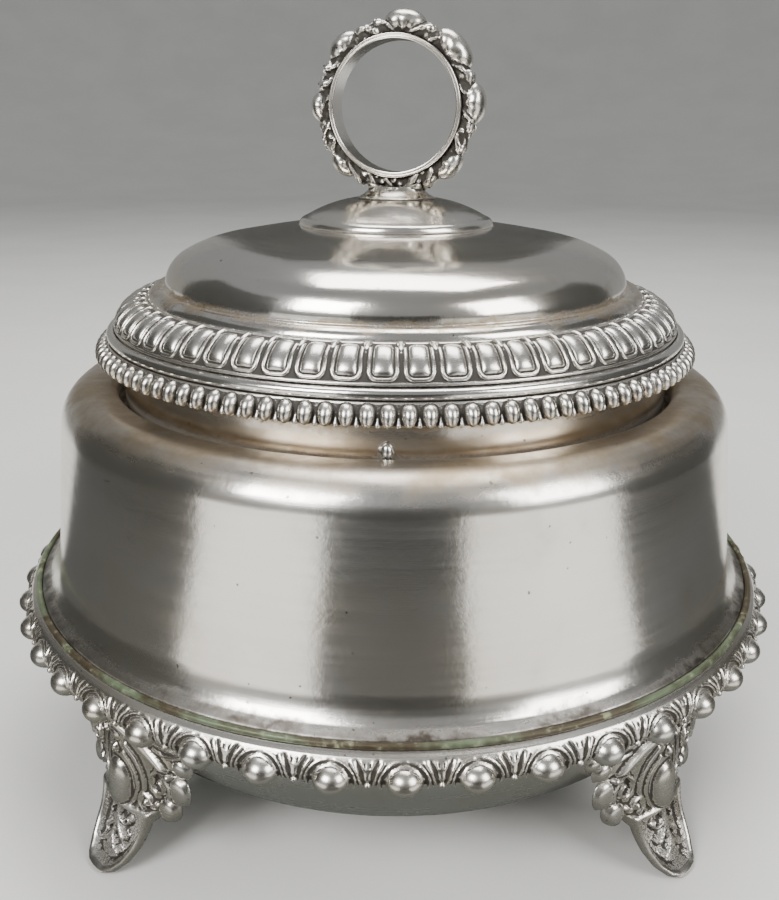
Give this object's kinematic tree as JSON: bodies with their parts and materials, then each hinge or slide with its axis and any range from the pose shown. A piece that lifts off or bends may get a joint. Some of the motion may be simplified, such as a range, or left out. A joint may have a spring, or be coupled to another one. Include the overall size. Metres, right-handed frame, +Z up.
{
  "type": "covered sugar bowl",
  "caption": "Round footed sugar bowl in old silver plate, with a lift-off domed lid, rolled gadroon and bead bands, and a finger-ring finial.",
  "frame": {"origin": "on the ground, under the centre of the bowl", "axes": "+Z up along the bowl's axis, -Y towards the viewer, +X to the viewer's right"},
  "size_m": [0.1692, 0.1692, 0.1604],
  "materials": {
    "silver_polished": "polished",
    "silver_satin": "satin",
    "silver_cast": "satin",
    "solder": "satin",
    "seam_brass": "matte",
    "fixing_brass": "satin"
  },
  "bodies": {
    "bowl": {"body_drum": "silver_satin", "mouth_seat_ring": "silver_satin", "seam_wire": "seam_brass", "base_border": "silver_cast", "base_pan": "silver_polished", "foot_front_left": "silver_cast", "foot_front_right": "silver_cast", "foot_back_right": "silver_cast", "foot_back_left": "silver_cast"},
    "lid": {"lid_dome": "silver_polished", "lid_gadroon_band": "silver_cast", "lid_plain_wire": "silver_polished", "lid_bead_band": "silver_cast", "lid_collar": "silver_satin", "collar_solder_tack": "solder", "finial_plate": "silver_polished", "finial_neck": "silver_cast", "finial_ring": "silver_cast", "finial_ring_liner": "silver_polished", "finial_stud": "fixing_brass", "finial_washer": "fixing_brass", "finial_nut": "fixing_brass"}
  },
  "joints": [
    {"name": "lid_lift", "type": "slide", "parent": "bowl", "child": "lid", "axis": [0, 0, 1], "range_m": [0, 0.06]}
  ]
}
